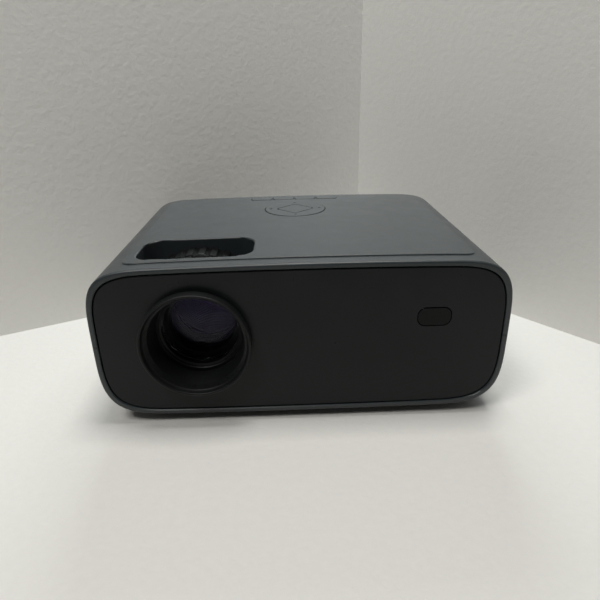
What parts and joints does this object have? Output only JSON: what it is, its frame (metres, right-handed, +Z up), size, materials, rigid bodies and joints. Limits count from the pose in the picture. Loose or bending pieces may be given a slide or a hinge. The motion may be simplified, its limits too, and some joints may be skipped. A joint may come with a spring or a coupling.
{
  "type": "mini projector",
  "caption": "Compact video projector: soft-cornered casing, proud lens ring, top window over focus and keystone rings, key pad, row keys and screw-out tilt foot.",
  "frame": {"origin": "on the table, under the middle of the object's box: the casing's width, and the depth from the lens ring's lip to the rear rim", "axes": "+X to the right seen from the front, +Y from the front with the lens to the rear with the sockets, +Z up"},
  "size_m": [0.21, 0.156, 0.0892],
  "materials": {
    "shell_plastic": "fine satin moulding texture",
    "panel_plastic": "satin",
    "black_plastic": "matt",
    "key_plastic": "satin",
    "rubber": "matt",
    "coated_glass": "polished, violet coating",
    "smoked_window": "gloss",
    "display_glass": "polished",
    "acrylic_sheet": "clear, finely grooved",
    "aluminium": "extruded",
    "steel": "plated",
    "circuit_board": "solder mask",
    "winding_tape": "tape over windings",
    "capacitor_sleeve": "shrunk sleeve",
    "paper_cone": "pressed paper"
  },
  "bodies": {
    "housing": {"top_shell": "shell_plastic", "bottom_shell": "shell_plastic", "front_panel": "panel_plastic", "rear_panel": "panel_plastic", "lens_bezel": "black_plastic", "lens_mount": "black_plastic", "engine_housing": "black_plastic", "front_fresnel": "acrylic_sheet", "rear_fresnel": "acrylic_sheet", "condenser_lens": "coated_glass", "led_board": "aluminium", "heatsink": "aluminium", "exhaust_fan_frame": "black_plastic", "intake_fan_frame": "black_plastic", "key_board": "circuit_board", "foot_front_left": "rubber", "foot_front_right": "rubber", "foot_rear_left": "rubber", "foot_rear_right": "rubber", "case_screw_1": "steel", "case_screw_2": "steel", "case_screw_3": "steel", "case_screw_4": "steel", "hdmi_socket": "steel", "usb_socket": "steel", "card_slot": "steel", "av_jack": "black_plastic", "power_inlet": "black_plastic", "power_board": "circuit_board", "main_board": "circuit_board", "transformer": "winding_tape", "capacitor": "capacitor_sleeve", "speaker_frame": "black_plastic", "speaker_cone": "paper_cone", "signal_window": "smoked_window", "signal_board": "circuit_board"},
    "focus_barrel": {"lens_barrel": "black_plastic", "front_lens": "coated_glass", "middle_lens": "coated_glass", "rear_lens": "coated_glass"},
    "focus_ring": {"focus_ring": "black_plastic"},
    "keystone_ring": {"keystone_ring": "black_plastic"},
    "display": {"lcd_frame": "black_plastic", "lcd_panel": "display_glass"},
    "exhaust_rotor": {"exhaust_fan_rotor": "black_plastic"},
    "intake_rotor": {"intake_fan_rotor": "black_plastic"},
    "pad_pivot": {"nav_pivot": "rubber"},
    "pad": {"nav_ring": "key_plastic"},
    "ok_key": {"key_ok": "key_plastic"},
    "power_key": {"key_power": "key_plastic"},
    "source_key": {"key_source": "key_plastic"},
    "menu_key": {"key_menu": "key_plastic"},
    "return_key": {"key_return": "key_plastic"},
    "foot_stud": {"tilt_stud": "steel"},
    "foot_knob": {"tilt_knob": "black_plastic"}
  },
  "joints": [
    {"name": "focus_turn", "type": "hinge", "parent": "housing", "child": "focus_ring", "pos_m": [-0.053, -0.0515, 0.048], "axis": [0, 1, 0], "range_deg": [-35, 35]},
    {"name": "focus_slide", "type": "slide", "parent": "housing", "child": "focus_barrel", "axis": [0, 1, 0], "range_m": [-0.0016, 0.0016]},
    {"name": "keystone_turn", "type": "hinge", "parent": "housing", "child": "keystone_ring", "pos_m": [-0.053, -0.0355, 0.048], "axis": [0, 1, 0], "range_deg": [-40, 40]},
    {"name": "display_tilt", "type": "hinge", "parent": "housing", "child": "display", "pos_m": [-0.053, 0.0122, 0.048], "axis": [1, 0, 0], "range_deg": [-4, 4]},
    {"name": "exhaust_spin", "type": "hinge", "parent": "housing", "child": "exhaust_rotor", "pos_m": [-0.0914, 0.033, 0.04665], "axis": [1, 0, 0], "continuous": true},
    {"name": "intake_spin", "type": "hinge", "parent": "housing", "child": "intake_rotor", "pos_m": [0.0914, 0.018, 0.04665], "axis": [1, 0, 0], "continuous": true},
    {"name": "pad_side_tilt", "type": "hinge", "parent": "housing", "child": "pad_pivot", "pos_m": [0, 0.034, 0.08605], "axis": [0, 1, 0], "range_deg": [-1.1, 1.1], "stiffness_Nm_per_rad": 1},
    {"name": "pad_fore_tilt", "type": "hinge", "parent": "pad_pivot", "child": "pad", "pos_m": [0, 0.034, 0.08605], "axis": [1, 0, 0], "range_deg": [-1.1, 1.1], "stiffness_Nm_per_rad": 1},
    {"name": "ok_press", "type": "slide", "parent": "housing", "child": "ok_key", "axis": [0, 0, -1], "range_m": [0, 0.0004], "stiffness_N_per_m": 1500, "springref_m": -0.0002},
    {"name": "power_press", "type": "slide", "parent": "housing", "child": "power_key", "axis": [0, 0, -1], "range_m": [0, 0.0004], "stiffness_N_per_m": 1500, "springref_m": -0.0002},
    {"name": "source_press", "type": "slide", "parent": "housing", "child": "source_key", "axis": [0, 0, -1], "range_m": [0, 0.0004], "stiffness_N_per_m": 1500, "springref_m": -0.0002},
    {"name": "menu_press", "type": "slide", "parent": "housing", "child": "menu_key", "axis": [0, 0, -1], "range_m": [0, 0.0004], "stiffness_N_per_m": 1500, "springref_m": -0.0002},
    {"name": "return_press", "type": "slide", "parent": "housing", "child": "return_key", "axis": [0, 0, -1], "range_m": [0, 0.0004], "stiffness_N_per_m": 1500, "springref_m": -0.0002},
    {"name": "foot_lift", "type": "slide", "parent": "housing", "child": "foot_stud", "axis": [0, 0, -1], "range_m": [0, 0.012]},
    {"name": "foot_turn", "type": "hinge", "parent": "foot_stud", "child": "foot_knob", "pos_m": [0, -0.056, 0.0024], "axis": [0, 0, 1], "range_deg": [0, 2885]}
  ],
  "couplings": [
    {"joint": "focus_slide", "follows": "focus_turn", "m_per_rad": 0.002619},
    {"joint": "display_tilt", "follows": "keystone_turn", "ratio": 0.1},
    {"joint": "foot_turn", "follows": "foot_lift", "rad_per_m": 4188.8}
  ]
}
